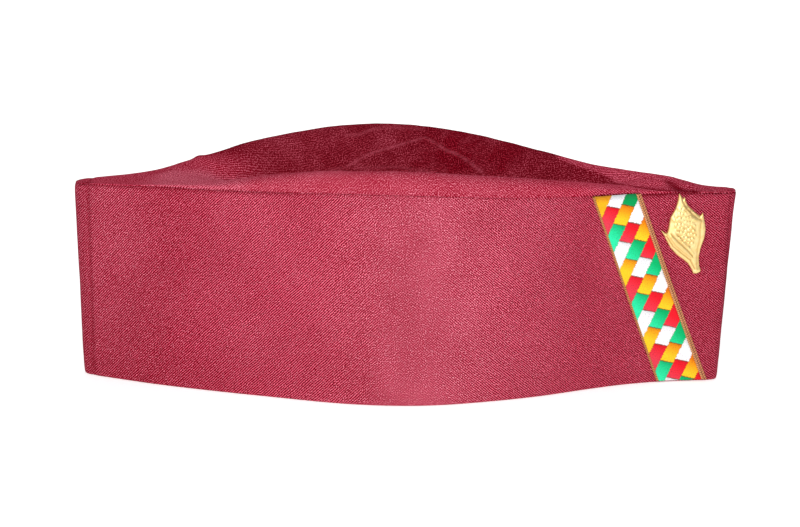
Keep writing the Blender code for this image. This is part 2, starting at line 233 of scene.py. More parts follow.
def set_uv(thing, across, up):
    """Gives each vertex its place on the cloth, in metres, as the piece's UV map."""
    loops = np.empty(len(thing.data.loops), dtype=int)
    thing.data.loops.foreach_get("vertex_index", loops)
    for layer in list(thing.data.uv_layers):
        thing.data.uv_layers.remove(layer)
    layer = thing.data.uv_layers.new(name="cloth")
    layer.data.foreach_set("uv", np.column_stack([across[loops], up[loops]]).ravel())


def set_values(thing, name, values):
    """Gives each vertex a value that the piece's material reads."""
    layer = thing.data.attributes.new(name, "FLOAT", "POINT")
    layer.data.foreach_set("value", np.ascontiguousarray(values))


def ramp(values, start, run):
    """A soft step from 0 to 1 that begins at the start and is done a run further on."""
    share = np.clip((values - start) / run, 0, 1)
    return share * share * (3 - 2 * share)


def bell(values, width):
    """1 at nought, falling off softly on both sides."""
    return np.exp(-((values / width) ** 2))


def highest_near(along, values, stops, reach):
    """Even stops along the cap, and the highest of the values within a reach of each stop."""
    spots = np.linspace(along.min(), along.max(), stops)
    return spots, np.array([values[np.abs(along - x) < reach].max() for x in spots])


def tip_folds(along):
    """How deep the folds near the tips are at places along the cap, and the painted shade in and beyond
    them.
    """
    dent, fold_shade = np.zeros(len(along)), np.zeros(len(along))
    for x, width, depth in TIP_FOLDS:
        fold = bell(along - x, width)
        beyond = ramp(np.abs(along), abs(x), FOLD_EDGE) * (along * x > 0)
        dent += depth * fold
        fold_shade = np.maximum(fold_shade, FOLD_PAINTED_SHADE * fold)
        fold_shade = np.maximum(fold_shade, BEYOND_FOLD_PAINTED_SHADE * beyond)
    return dent, fold_shade


def shape_tips(places, share):
    """Turns the trimmed tip's upper corner out to a point and lowers the plain tip's edge."""
    corner = CORNER_REACH * ramp(places[..., 0], *CORNER) * share
    places[..., 0] += corner
    places[..., 2] += CORNER_LIFT * corner
    places[..., 2] *= 1 - PLAIN_TIP_DROP * ramp(-places[..., 0], *PLAIN_TIP)


def tightness(along):
    """How tight the top seam is sewn: 0 in its slack middle, 1 towards the tips."""
    return ramp(np.abs(along - SEAM_MIDDLE), *SEAM_SLACK)


far_wall = smooth_copy("far_side_panel", "far_wall_cloth", WALL_LEVELS)
places = vertices_of(far_wall)
normals = outward(far_wall)
along = places[:, 0]
along *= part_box("far_side_panel")[1][0] / along.max()
top_line = highest_near(along, places[:, 2], 120, 0.004)
below_top = np.interp(along, *top_line) - places[:, 2]
push = np.zeros(len(places))
for i, (x, y, z) in enumerate(places):
    push[i] = WALL_WRINKLE * noise.fractal(Vector((x, 0.6 * y, z)) / WALL_WRINKLE_SIZE, 1.0, 2.0, 3)
    pucker = noise.noise(Vector((x / PUCKER_LENGTH, 0.0, z / PUCKER_HEIGHT)))
    push[i] += SEAM_PUCKER * pucker * math.exp(-below_top[i] / PUCKER_REACH)
push *= np.clip(places[:, 2] / RIM_STILL, 0, 1)
dent, tips = tip_folds(along)
push -= dent
# Painted shade towards the trimmed end.
tips = np.maximum(tips, WALL_END_PAINTED_SHADE * ramp(along, *WALL_END))
inner = (np.abs(normals[:, 1]) > 0.3) & (normals[:, 1] < 0)
push[inner] *= -1
places += normals * push[:, None]
shape_tips(places, np.exp(-below_top / CORNER_HEIGHT))

# The stitches pull the two walls together at the tips.
sewn = (places[:, 1] < SEWN_REACH) & (np.abs(along) > SEWN_FROM)
drawn = SEWN_REACH / (SEWN_REACH - SEWN_GAP) * (places[sewn, 1] - SEWN_GAP)
places[sewn, 1] = np.maximum(drawn, 0.0)
put_vertices(far_wall, places)

# The twill lies along the wall's outer face and turns in over the edges at the tips.
stops, widest = highest_near(along, places[:, 1], 200, 0.002)
arc = np.concatenate([[0.0], np.cumsum(np.hypot(np.diff(stops), np.diff(widest)))])
arc -= np.interp(0.0, stops, arc)
turned_in = np.clip(TURNED_IN_REACH - places[:, 1], 0, None) * (np.abs(along) > TURNED_IN_FROM)
set_uv(far_wall, np.interp(along, stops, arc) + 0.8 * turned_in * np.sign(along), places[:, 2])

# The folds at the tips, the trimmed end and the seam get painted shade, and so does the cloth along
# the cap and low on the plain half, as deeper dye; how much its ribs stand out changes too.
# Painted shadow along the seam, under the crown's roll.
seam_line_shade = bell(below_top, SEAM_LINE) * (SLACK_SEAM_PAINTED_SHADE + TIGHT_SEAM_PAINTED_SHADE * tightness(along))
by_badge = bell(along - BADGE_SEAM, BADGE_SEAM_LENGTH)
seam_line_shade += BADGE_SEAM_PAINTED_SHADE * bell(below_top, BADGE_SEAM_LINE) * by_badge
low = np.exp(-places[:, 2] / LOW_PAINTED_SHADE_HEIGHT) * ramp(-along, *LOW_PAINTED_SHADE_FROM)
stands, painted_shades, contrasts = zip(*CLOTH_ALONG)
set_values(far_wall, "shade", np.clip(np.maximum(tips, seam_line_shade), 0, 1))
set_values(far_wall, "painted_shade_and_dye", np.clip(np.interp(along, stands, painted_shades) + LOW_PAINTED_SHADE * low, 0, 1))
set_values(far_wall, "contrast", np.interp(along, stands, contrasts))

select_only(far_wall)
bpy.ops.object.duplicate()
near_wall = bpy.context.object
near_wall.name = "near_wall_cloth"
bpy.ops.object.mode_set(mode="EDIT")
bpy.ops.mesh.select_all(action="SELECT")
bpy.ops.transform.mirror(constraint_axis=(False, True, False), center_override=(0, 0, 0))
bpy.ops.mesh.flip_normals()
bpy.ops.object.mode_set(mode="OBJECT")


def math_node(tree, operation, *values, clamp=False):
    """A Math node fed by sockets or by plain numbers. Gives its output socket."""
    node = tree.nodes.new("ShaderNodeMath")
    node.operation = operation
    node.use_clamp = clamp
    for socket, value in zip(node.inputs, values):
        if isinstance(value, (int, float)):
            socket.default_value = value
        else:
            tree.links.new(value, socket)
    return node.outputs[0]


def mix_colours(tree, factor, first, second):
    """A colour mix fed by sockets or by plain colours. Gives its output socket."""
    node = tree.nodes.new("ShaderNodeMix")
    node.data_type = "RGBA"
    # The node's factor and its two colours are its inputs 0, 6 and 7, and its colour output is 2.
    for socket, value in ((node.inputs[0], factor), (node.inputs[6], first), (node.inputs[7], second)):
        if isinstance(value, (int, float)):
            socket.default_value = value
        elif isinstance(value, tuple):
            socket.default_value = (*value, 1.0)
        else:
            tree.links.new(value, socket)
    return node.outputs[2]


def noise_of(tree, vector, scale, detail=2.0, roughness=0.5):
    """A noise pattern's value on a vector."""
    node = tree.nodes.new("ShaderNodeTexNoise")
    node.inputs["Scale"].default_value = scale
    node.inputs["Detail"].default_value = detail
    node.inputs["Roughness"].default_value = roughness
    tree.links.new(vector, node.inputs["Vector"])
    return node.outputs["Fac"]


def attribute(tree, name):
    """One of the piece's own values."""
    node = tree.nodes.new("ShaderNodeAttribute")
    node.attribute_name = name
    return node.outputs["Fac"]


def on_cloth(tree):
    """The place on the piece's UV map, and its two parts."""
    cloth = tree.nodes.new("ShaderNodeUVMap")
    cloth.uv_map = "cloth"
    split = tree.nodes.new("ShaderNodeSeparateXYZ")
    tree.links.new(cloth.outputs["UV"], split.inputs[0])
    return cloth.outputs["UV"], split.outputs["X"], split.outputs["Y"]


# The twill's ribs: how far they climb for each length along the cap and how far apart they lie,
# on the left and on the right, and where along the cap and over what length they change over.
LEFT_LEAN = -0.94
LEFT_PITCH = 0.001116
RIGHT_LEAN = 0.83
RIGHT_PITCH = 0.00103
RIBS_TURN_AT = 0.009
RIBS_TURN_OVER = 0.08
THREADS_PER_METRE = 2300.0
WAVERS_PER_METRE = 140.0
RIB_WAVER = 0.0011


def twill_pattern(tree, painted_shade_and_dye, contrast, rib_share=1.0, grain_length=1.0):
    """Diagonal ribs that seem to lean one way on the left and the other way on the right, as fine
    twill does from some way off, with fewer pale threads where the painted shade and dye are full.
    Gives the place on the cloth, how light each rib is, the pale specks and the relief."""
    place, along, up = on_cloth(tree)
    waver = math_node(tree, "MULTIPLY", noise_of(tree, place, WAVERS_PER_METRE, 1.0), RIB_WAVER)
    rise = math_node(tree, "ADD", up, waver)

    def ribs(lean, pitch):
        phase = math_node(tree, "MULTIPLY_ADD", along, lean, rise)
        return math_node(tree, "SINE", math_node(tree, "MULTIPLY", phase, 2 * math.pi / pitch))

    # The ribs that lean right come in as the ones that lean left fade, though never all the way.
    side = math_node(tree, "DIVIDE", math_node(tree, "SUBTRACT", along, RIBS_TURN_AT), RIBS_TURN_OVER)
    side = math_node(tree, "ADD", side, 0.5, clamp=True)
    fade = math_node(tree, "MAXIMUM", math_node(tree, "MULTIPLY_ADD", side, -1.3, 1.0), 0.35)
    rib = math_node(tree, "MULTIPLY", ribs(RIGHT_LEAN, RIGHT_PITCH), side)
    rib = math_node(tree, "MULTIPLY_ADD", ribs(LEFT_LEAN, LEFT_PITCH), fade, rib)

    # Single threads show as grain over the ribs, and the palest of them as specks.
    threads = tree.nodes.new("ShaderNodeCombineXYZ")
    tree.links.new(along, threads.inputs["X"])
    tree.links.new(math_node(tree, "DIVIDE", up, grain_length), threads.inputs["Y"])
    grain = noise_of(tree, threads.outputs[0], THREADS_PER_METRE, 0.0)
    grain = math_node(tree, "SUBTRACT", grain, 0.5)
    relief = math_node(tree, "MULTIPLY_ADD", grain, 3.0, math_node(tree, "MULTIPLY", rib, rib_share))
    relief = math_node(tree, "MULTIPLY", relief, contrast)
    paleness = math_node(tree, "MULTIPLY_ADD", painted_shade_and_dye, -0.55, 0.36)
    level = math_node(tree, "MULTIPLY_ADD", relief, 1.15, paleness, clamp=True)
    specks = math_node(tree, "MULTIPLY", math_node(tree, "SUBTRACT", grain, 0.15), 5.0, clamp=True)
    return place, level, specks, relief


def worn_patches(tree, painted_shade_and_dye, scale, depth):
    """The painted shade and dye value with soft random patches, fuller and paler."""
    patch = noise_of(tree, on_cloth(tree)[0], scale, 2.0)
    patch = math_node(tree, "MULTIPLY_ADD", patch, depth, -0.5 * depth)
    return math_node(tree, "ADD", painted_shade_and_dye, patch, clamp=True)


def twill_colour(tree, level, specks, shade, thread, pale):
    """The twill's colour from its ribs and specks."""
    body = mix_colours(tree, level, shade, thread)
    return mix_colours(tree, specks, body, pale)


def enrich(tree, painted_shade_and_dye, colour):
    """The colour deepened, less green and blue, where the painted shade and dye are full."""
    rich = mix_colours(tree, painted_shade_and_dye, colour, FULL_SHADE_AND_DYE)
    rich.node.blend_type = "MULTIPLY"
    return rich


def soften(surface, sheen):
    """The dull surface of worn cotton, with a faint pinkish sheen."""
    surface.inputs["Sheen Weight"].default_value = sheen
    surface.inputs["Sheen Roughness"].default_value = 0.4
    surface.inputs["Sheen Tint"].default_value = (1.0, 0.62, 0.70, 1.0)
    surface.inputs["Specular IOR Level"].default_value = 0.0


def add_bump(tree, surface, height, distance, strength):
    """Raises the surface by a pattern."""
    bump = tree.nodes.new("ShaderNodeBump")
    bump.inputs["Distance"].default_value = distance
    bump.inputs["Strength"].default_value = strength
    tree.links.new(height, bump.inputs["Height"])
    tree.links.new(bump.outputs["Normal"], surface.inputs["Normal"])


# The patches' number in a metre and their strength, and how high the ribs stand.
WALL_PATCHES = (42.0, 0.6)
WALL_RIB_HEIGHT = 0.00009
FULL_SHADE_AND_DYE = (1.0, 0.66, 0.76)
WALL_SHADE = (0.155, 0.0002, 0.006)
WALL_THREAD = (0.885, 0.165, 0.260)
WALL_PALE = (1.0, 0.46, 0.54)
wall_cloth, tree, surface = shader("wall_twill", 0.85)
soften(surface, 0.02)
# The dye value carries painted shade, with random worn patches of real dye over it.
painted_shade_and_dye = worn_patches(tree, attribute(tree, "painted_shade_and_dye"), *WALL_PATCHES)
place, level, specks, relief = twill_pattern(tree, painted_shade_and_dye, attribute(tree, "contrast"))
body = enrich(tree, painted_shade_and_dye, twill_colour(tree, level, specks, WALL_SHADE, WALL_THREAD, WALL_PALE))
mottle = math_node(tree, "MULTIPLY_ADD", noise_of(tree, place, 30.0, 3.0), 0.5, -0.18, clamp=True)
body = mix_colours(tree, mottle, body, WALL_SHADE)
# Painted shade in the folds, at the ends and along the seam.
body = mix_colours(tree, attribute(tree, "shade"), body, WALL_SHADE)
tree.links.new(body, surface.inputs["Base Color"])
add_bump(tree, surface, relief, WALL_RIB_HEIGHT, 0.8)
for wall, node in ((near_wall, "near_side_panel"), (far_wall, "far_side_panel")):
    wall.data.materials.append(wall_cloth)
    wall.data.shade_smooth()
    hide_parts(node)
    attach(wall, "root")


# The crown: one soft, unlined piece of the same twill, sewn along the tops of both walls. It
# rolls out of the seams, sinks into a valley and is pleated on its far slope. The valley's cloth
# gets painted shade, darker and deeper than the faces that stand up.
CROWN_STATIONS = 340
NEAR_STRIP_ROWS = 11
NEAR_SLOPE_ROWS = 26
FAR_SLOPE_ROWS = 60
FAR_STRIP_ROWS = 9
CROWN_PROBES = 161
PROBE_FROM = 0.15
EVEN_SHARE = 0.72
CROWN_CLOTH = 0.0011
CROWN_END_GAP = 0.0003
RIDGE_INSET = 0.0048
SEAM_TUCK = 0.0009
SEAM_ROLL = 0.0014
SEAM_OVERLAP = 0.00035
SEAM_STILL = 0.003
FULL_TUCK_SIDE = 0.004
SLACK_TUCK = 0.25
DENT_DEPTH = 0.0010
DENT_RUN = 0.0035
CROWN_WRINKLE = 0.00030
CROWN_RIPPLE = 0.00008

# The line, in plan, round the part of the crown that gets the valley's painted shade.
SHADED_VALLEY = (
    (-0.094, 0.0165), (-0.085, 0.0150), (-0.077, 0.0122), (-0.067, 0.0095), (-0.060, 0.0040),
    (-0.054, -0.014), (-0.050, -0.045), (0.099, -0.045), (0.095, -0.020), (0.0937, -0.0091),
    (0.0870, 0.0040), (0.0805, 0.0086), (0.0727, 0.0123), (0.0650, 0.0170), (0.060, 0.045),
    (-0.060, 0.045), (-0.098, 0.030),
)
VALLEY_VERGE = 0.0016
SOFT_VERGE = 0.0100

# A crease in the crown: its course in plan, how far it stands up, its width, how strong the painted
# highlight along its ridge is and how much painted shade it has.
Crease = namedtuple("Crease", "course rise width wear shade", defaults=(0.0, 0.0))

# The two long creases that meet at the top of the far slope.
LEFT_CREASE = Crease(
    ((-0.0245, 0.0166), (-0.0195, 0.0188), (-0.0154, 0.0206), (-0.0094, 0.0224),
     (-0.0034, 0.0243), (0.0050, 0.0268), (0.0087, 0.0276)),
    0.00025, 0.0006, wear=1.0,
)
RIGHT_CREASE = Crease(
    ((0.0087, 0.0276), (0.0136, 0.0254), (0.0173, 0.0234), (0.0222, 0.0219), (0.0271, 0.0194),
     (0.0332, 0.0160)),
    0.00020, 0.0007, wear=0.90,
)

# After them come the two faint creases above and below the left one, the dip and the pleat at
# the valley's plain end, its edge at the trimmed end and the two folds tucked in by the badge.
# The long creases carry painted highlight; the dip and the two folds by the badge painted shade.
CREASES = (
    LEFT_CREASE,
    RIGHT_CREASE,
    Crease(
        ((-0.0253, 0.0252), (-0.0193, 0.0259), (-0.0139, 0.0287), (-0.0060, 0.0305), (0.0074, 0.0311)),
        0.00012, 0.0013, wear=0.55,
    ),
    Crease(
        ((-0.0315, 0.0150), (-0.0219, 0.0170), (-0.0117, 0.0182), (-0.0020, 0.0195), (0.0126, 0.0188)),
        0.00010, 0.0008, wear=0.40,
    ),
    Crease(
        ((-0.0690, 0.0075), (-0.0623, 0.0092), (-0.0566, 0.0112), (-0.0441, 0.0138)),
        -0.00040, 0.0016, shade=0.20,
    ),
    Crease(((-0.0878, 0.0200), (-0.0871, 0.0127), (-0.0818, 0.0102), (-0.0766, 0.0088)), 0.00070, 0.0022),
    Crease(((0.0700, 0.0130), (0.0805, 0.0086), (0.0870, 0.0040), (0.0937, -0.0091)), 0.00030, 0.0012),
    Crease(
        ((0.0880, -0.0058), (0.0980, -0.0064), (0.1062, -0.0068), (0.1144, -0.0062), (0.1200, -0.0056)),
        -0.00070, 0.0012, shade=0.85,
    ),
    Crease(
        ((0.1105, -0.0005), (0.1127, -0.0022), (0.1162, -0.0044), (0.1207, -0.0056)),
        -0.00080, 0.0021, shade=0.85,
    ),
)

# How far the crown is pressed down over each tip, as a share of its height there, along the cap.
PRESSED = (
    (-0.137, 0.35), (-0.127, 0.60), (-0.112, 0.50), (-0.096, 0.0), (0.112, 0.0), (0.123, 0.24),
    (0.130, 0.50), (0.134, 0.45), (0.137, 0.20),
)
CROWN_END = (0.100, 0.015)
CROWN_END_PAINTED_SHADE = 0.14
FOLD_SHARE = 0.9


def line_distance(points, course):
    """How far points in plan lie from a bent line, and on which side of it (+ is to its left)."""
    nearest = np.full(len(points), np.inf)
    side = np.zeros(len(points))
    for start, end in zip(course, course[1:]):
        start, end = np.array(start), np.array(end)
        run = end - start
        share = np.clip(((points - start) @ run) / (run @ run), 0, 1)
        gap = points - start - share[:, None] * run
        distance = np.hypot(gap[:, 0], gap[:, 1])
        turn = np.sign(run[0] * (points[:, 1] - start[1]) - run[1] * (points[:, 0] - start[0]))
        closer = distance < nearest
        nearest[closer], side[closer] = distance[closer], turn[closer]
    return nearest, side


def inside(points, outline):
    """Which points in plan lie within a closed line."""
    within = np.zeros(len(points), dtype=bool)
    for (ax, ay), (bx, by) in zip(outline, outline[1:] + outline[:1]):
        crosses = (ay > points[:, 1]) != (by > points[:, 1])
        with np.errstate(divide="ignore", invalid="ignore"):
            at = (bx - ax) * (points[:, 1] - ay) / (by - ay) + ax
        within ^= crosses & (points[:, 0] < at)
    return within


def skin_of(thing):
    """A quick way to find where a straight line meets a piece."""
    shape = bmesh.new()
    shape.from_mesh(thing.data)
    skin = BVHTree.FromBMesh(shape)
    shape.free()
    return skin


def new_sheet(name, columns, rows):
    """A flat grid to be laid out as cloth, and how far each vertex is across it and up it."""
    bpy.ops.object.select_all(action="DESELECT")
    bpy.ops.mesh.primitive_grid_add(x_subdivisions=columns, y_subdivisions=rows, size=2)
    sheet = bpy.context.object
    sheet.name = name
    flat = vertices_of(sheet)
    return sheet, (flat[:, 0] + 1) / 2, (flat[:, 1] + 1) / 2


# The solid crown's rings tell where its edges run, and a rounded copy of it tells its heights.
solid = vertices_of(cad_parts["crown"])
rings = np.unique(np.round(solid[:, 0], 5))
ring_sides, ring_feet = [], []
for x in rings:
    ring = solid[np.abs(solid[:, 0] - x) < 0.00002]
    ring_sides.append(ring[:, 1].max())
    ring_feet.append(ring[ring[:, 1] > ring_sides[-1] - 0.0015][:, 2].min())
rounded = smooth_copy("crown", "rounded_crown", 2)
rounded_skin = skin_of(rounded)
crown_end = vertices_of(rounded)[:, 0].max() - CROWN_END_GAP
bpy.data.objects.remove(rounded)

# The new cloth has rows that follow the seams and the ridges, closer together at the tips.
span = np.linspace(-1, 1, CROWN_STATIONS + 1)
stations = crown_end * (EVEN_SHARE * span + (1 - EVEN_SHARE) * np.sin(span * math.pi / 2))
sides = np.interp(stations, rings, ring_sides)
feet = np.interp(stations, rings, ring_feet)
row_counts = (NEAR_STRIP_ROWS, NEAR_SLOPE_ROWS, FAR_SLOPE_ROWS, FAR_STRIP_ROWS)
rows = sum(row_counts)
crown_grid = np.zeros((CROWN_STATIONS + 1, rows + 1, 3))
arcs = np.zeros((CROWN_STATIONS + 1, rows + 1))
for i, (x, side, foot) in enumerate(zip(stations, sides, feet)):
    depth = 1.05 * side + 0.0004
    centre = Vector((x, 0, foot - depth))
    reach = math.atan2(side, depth) * 0.995
    line = [(-side, foot)]
    for turn in np.linspace(-reach, reach, CROWN_PROBES):
        ray = Vector((0, math.sin(turn), math.cos(turn)))
        hit = rounded_skin.ray_cast(centre + ray * PROBE_FROM, -ray)[0]
        if hit:
            line.append((hit.y, hit.z))
    line.append((side, foot))
    line = np.array(line)
    arc = np.concatenate([[0.0], np.cumsum(np.hypot(*np.diff(line, axis=0).T))])
    ridge = side - min(RIDGE_INSET, side / 2)
    bounds = [0.0, *np.interp([-ridge, 0.0, ridge], line[:, 0], arc), arc[-1]]
    at = [0.0]
    for start, end, count in zip(bounds, bounds[1:], row_counts):
        at.extend(np.linspace(start, end, count + 1)[1:])
    kept_height = 1 - np.interp(x, *zip(*PRESSED))
    arcs[i] = at
    crown_grid[i, :, 0] = x
    crown_grid[i, :, 1] = np.interp(at, arc, line[:, 0])
    crown_grid[i, :, 2] = foot + kept_height * (np.interp(at, arc, line[:, 1]) - foot)

# Where the strips and the slopes lie, how far each point is from its seam and how much painted
# shade the valley's cloth gets. Its edge is softer towards the plain tip.
from_seam = np.minimum(arcs, arcs[:, -1:] - arcs)
near_ridge, far_ridge = arcs[:, [NEAR_STRIP_ROWS]], arcs[:, [rows - FAR_STRIP_ROWS]]
on_slope = ramp(np.minimum(arcs - near_ridge - 0.0005, far_ridge - arcs + 0.0012), 0, 0.0014)
on_strip = 1 - on_slope
plan = crown_grid[:, :, :2].reshape(-1, 2)
gap, _ = line_distance(plan, SHADED_VALLEY + SHADED_VALLEY[:1])
depth_in = np.where(inside(plan, SHADED_VALLEY), gap, -gap)
verge = VALLEY_VERGE + SOFT_VERGE * ramp(-plan[:, 0], 0.035, 0.025)
painted_shade = ramp(depth_in, -0.35 * verge, verge).reshape(on_slope.shape) * on_slope
along = crown_grid[:, :, 0]
painted_shade *= 1 - 0.13 * ramp(-along, -0.015, 0.03) - 0.14 * ramp(-along, 0.035, 0.02)
painted_shade *= 1 - 0.22 * ramp(along, 0.040, 0.03)

facing = np.cross(np.gradient(crown_grid, axis=0), np.gradient(crown_grid, axis=1))
facing /= np.linalg.norm(facing, axis=2, keepdims=True) + 1e-12

# The dent between the two long creases, the creases themselves and the cloth's small unevenness.
left_gap, left_side = line_distance(plan, LEFT_CREASE.course)
right_gap, right_side = line_distance(plan, RIGHT_CREASE.course)
between = (left_side < 0) & (right_side < 0) & (plan[:, 1] > 0.004)
hollow = np.where(between, np.minimum(left_gap, right_gap), 0.0)
push = -DENT_DEPTH * ramp(hollow, 0, DENT_RUN)
# Painted highlight along the creases' ridges, and painted shade in the dark ones.
wear = np.zeros(len(plan))
creased = np.zeros(len(plan))
for crease in CREASES:
    gap, _ = line_distance(plan, crease.course)
    profile = bell(gap, crease.width)
    push += crease.rise * profile
    creased = np.maximum(creased, crease.shade * profile)
    wear = np.maximum(wear, crease.wear * bell(gap, 0.45 * crease.width))
for k, (x, y, z) in enumerate(crown_grid.reshape(-1, 3)):
    push[k] += CROWN_WRINKLE * noise.fractal(Vector((x / 0.022, y / 0.016, 1.7)), 1.0, 2.0, 3)
    push[k] += CROWN_RIPPLE * noise.noise(Vector((x / 0.0045, y / 0.009, 5.1)))
    wear[k] *= 0.75 + 0.9 * noise.noise(Vector((x / 0.0012, y / 0.0012, 9.3)))
push = push.reshape(on_slope.shape) * ramp(from_seam, 0, SEAM_STILL)
wear = wear.reshape(on_slope.shape) * on_slope
crown_grid += facing * push[:, :, None]

# The folds at the tips run on from the walls, and so do the corner and the lower edge.
dent, tips = tip_folds(plan[:, 0])
# Painted shade towards the trimmed end, joined to that of the tip folds and the dark creases.
tips = np.maximum(tips, CROWN_END_PAINTED_SHADE * ramp(plan[:, 0], *CROWN_END))
folded = np.maximum(tips, creased).reshape(on_slope.shape)
crown_grid[:, :, 2] -= FOLD_SHARE * dent.reshape(on_slope.shape)
shape_tips(crown_grid, 1.0)

# The cloth comes up out of each seam in a small roll, flatter along the middle.
tuck = SEAM_TUCK * (SLACK_TUCK + (1 - SLACK_TUCK) * tightness(stations))[:, None]
tuck = tuck * np.clip(1 - from_seam / SEAM_ROLL, 0, 1) ** 2
tuck = tuck * np.minimum(1.0, sides / FULL_TUCK_SIDE)[:, None]
crown_grid[:, :, 1] -= np.sign(crown_grid[:, :, 1]) * tuck
crown_grid[:, :, 2] -= SEAM_OVERLAP * (from_seam < 0.0001)

crown_cloth, across, up = new_sheet("crown_cloth", CROWN_STATIONS, rows)
i = np.rint(across * CROWN_STATIONS).astype(int)
j = np.rint(up * rows).astype(int)
put_vertices(crown_cloth, crown_grid[i, j])
set_uv(crown_cloth, crown_grid[i, j, 0], arcs[i, j])

# How steep the cloth is decides how much its ribs show. Its painted shade and its contrast change
# along the cap: the ends that stand up as tents get more painted shade, as deeper dye, than the middle.
tentward = ramp(np.abs(along + 0.01), 0.05, 0.05)
plain_tent = ramp(-along, 0.055, 0.02)
steepness = np.abs(facing[:, :, 1])
ribbed = np.clip((steepness - 0.10) / 0.35, 0.45, 0.60) * (1 - 0.7 * painted_shade)
shaded_side = ramp(-along, 0.097, 0.015) + ramp(crown_grid[:, :, 1], 0.001, 0.006)
plain_tent_shade = 0.90 * np.minimum(shaded_side, 1) * plain_tent
trimmed_tent_shade = (1.5 - 0.9 * tentward) * tentward
tent_shade = np.where(along < 0, plain_tent_shade, trimmed_tent_shade)
stands_out = np.where(along < 0, 1.20 * plain_tent, 1.60 * tentward)
# The shade value is painted shade in the folds and dark creases, over the middle and on the strips.
crown_values = {
    "painted_shade": painted_shade,
    "wear": wear,
    "shade": folded + 0.15 * (1 - tentward) + 0.08 * on_strip,
    "painted_shade_and_dye": 0.20 * (1 - plain_tent) + tent_shade,
    "contrast": 0.60 + stands_out * (1 - painted_shade) + 0.60 * painted_shade,
    "ribbed": np.maximum(ribbed, 0.68 * on_strip),
}
for name, values in crown_values.items():
    set_values(crown_cloth, name, values[i, j])
apply_modifier(crown_cloth, "SOLIDIFY", thickness=CROWN_CLOTH, offset=-1)

CROWN_SHADE = (0.250, 0.0010, 0.014)
CROWN_THREAD = (0.840, 0.185, 0.275)
CROWN_PALE = (0.95, 0.34, 0.42)
# The valley's painted shade: darker, deeper copies of the crown's colours.
VALLEY_SHADE = (0.080, 0.0008, 0.0030)
SHADED_VALLEY_THREAD = (0.335, 0.0085, 0.024)
SHADED_VALLEY_PALE = (0.48, 0.055, 0.090)
PAINTED_FOLD_HIGHLIGHT = (0.42, 0.065, 0.100)
CROWN_PATCHES = (80.0, 0.8)
CROWN_RIB_HEIGHT = 0.00005
crown_twill, tree, surface = shader("crown_twill", 0.9)
soften(surface, 0.0)
painted_shade_and_dye = worn_patches(tree, attribute(tree, "painted_shade_and_dye"), *CROWN_PATCHES)
contrast, ribbed = attribute(tree, "contrast"), attribute(tree, "ribbed")
place, level, specks, relief = twill_pattern(tree, painted_shade_and_dye, contrast, ribbed, grain_length=1.25)
light = enrich(tree, painted_shade_and_dye, twill_colour(tree, level, specks, CROWN_SHADE, CROWN_THREAD, CROWN_PALE))
valley_shade_colour = twill_colour(tree, level, specks, VALLEY_SHADE, SHADED_VALLEY_THREAD, SHADED_VALLEY_PALE)
mottle = math_node(tree, "MULTIPLY_ADD", noise_of(tree, place, 70.0, 4.0, 0.7), 1.5, -0.66, clamp=True)
valley_shade_colour = mix_colours(tree, mottle, valley_shade_colour, light)
# Painted shade in the valley, then over the folds, the middle and the strips.
body = mix_colours(tree, attribute(tree, "painted_shade"), light, valley_shade_colour)
body = mix_colours(tree, attribute(tree, "shade"), body, WALL_SHADE)
# Painted highlight along the crease ridges.
fold_highlight = math_node(tree, "MULTIPLY", attribute(tree, "wear"), 0.75)
tree.links.new(mix_colours(tree, fold_highlight, body, PAINTED_FOLD_HIGHLIGHT), surface.inputs["Base Color"])
add_bump(tree, surface, relief, CROWN_RIB_HEIGHT, 0.8)
crown_cloth.data.materials.append(crown_twill)
crown_cloth.data.shade_smooth()
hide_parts("crown")
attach(crown_cloth, "root")


# The ribbon: a satin band woven in slanted blocks of four colours between corded edges. It runs
# down the near wall from under the crown's seam and is turned in at the rim.
RIBBON_ROWS = 240
RIBBON_COLUMNS = 60
RIBBON_TIERS = 14
RIBBON_LENGTH = 0.0859
RIBBON_WIDTH = 0.0204
RIBBON_LIFT = 0.00035
RIBBON_FOOT = 0.0007
RIBBON_CLOTH = 0.0003
SATIN_FROM = 0.050
SATIN_TO = 0.893
SATIN_UNDER_CORD = 0.015
BLOCK_PUFF = 0.00034

# The blocks lie in slanting lanes. How many lanes and blocks come along the ribbon's length and
# across its width, where the first ones start, and how far each lane is set off from the last.
LANES = (10.930, 3.458, -5.406)
BLOCKS = (-8.374, 0.667, 0.361)
LANE_STAGGER = 0.770
BLOCK_ENDS = (-3, -2)
FIRST_LANE = -5

near_skin = skin_of(near_wall)
solid = vertices_of(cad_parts["ribbon"])
ribbon_top = solid[:, 2].max()
tiers = np.rint(solid[:, 2] / ribbon_top * RIBBON_TIERS)
tier_z, tier_left, tier_right = [], [], []
for tier in np.unique(tiers):
    ring = solid[tiers == tier]
    tier_z.append(ring[:, 2].mean())
    tier_left.append(ring[:, 0].min())
    tier_right.append(ring[:, 0].max())


def on_ribbon(down, over, lift):
    """A point above the near wall, at shares of the ribbon's length and width, and the wall's
    direction outwards there. The wall is felt for a little inside its top and its rim."""
    z = max(ribbon_top * (1 - down) - 0.0001, RIBBON_FOOT)
    left, right = np.interp(z, tier_z, tier_left), np.interp(z, tier_z, tier_right)
    level = min(max(z, 0.0012), ribbon_top - 0.0015)
    start = Vector((left + (right - left) * over, -0.2, level))
    spot, facing, _, _ = near_skin.ray_cast(start, Vector((0, 1, 0)))
    spot.z = z
    facing = Vector((facing.x, facing.y, 0)).normalized()
    return spot + facing * lift, facing


def block_at(down, over):
    """How far across its lane a place on the ribbon is, and how far from the nearest block's end."""
    across = LANES[0] * down + LANES[1] * over + LANES[2]
    along = BLOCKS[0] * down + BLOCKS[1] * over + BLOCKS[2] + LANE_STAGGER * np.floor(across)
    return across % 1.0, np.minimum(np.abs(along - BLOCK_ENDS[0]), np.abs(along - BLOCK_ENDS[1]))


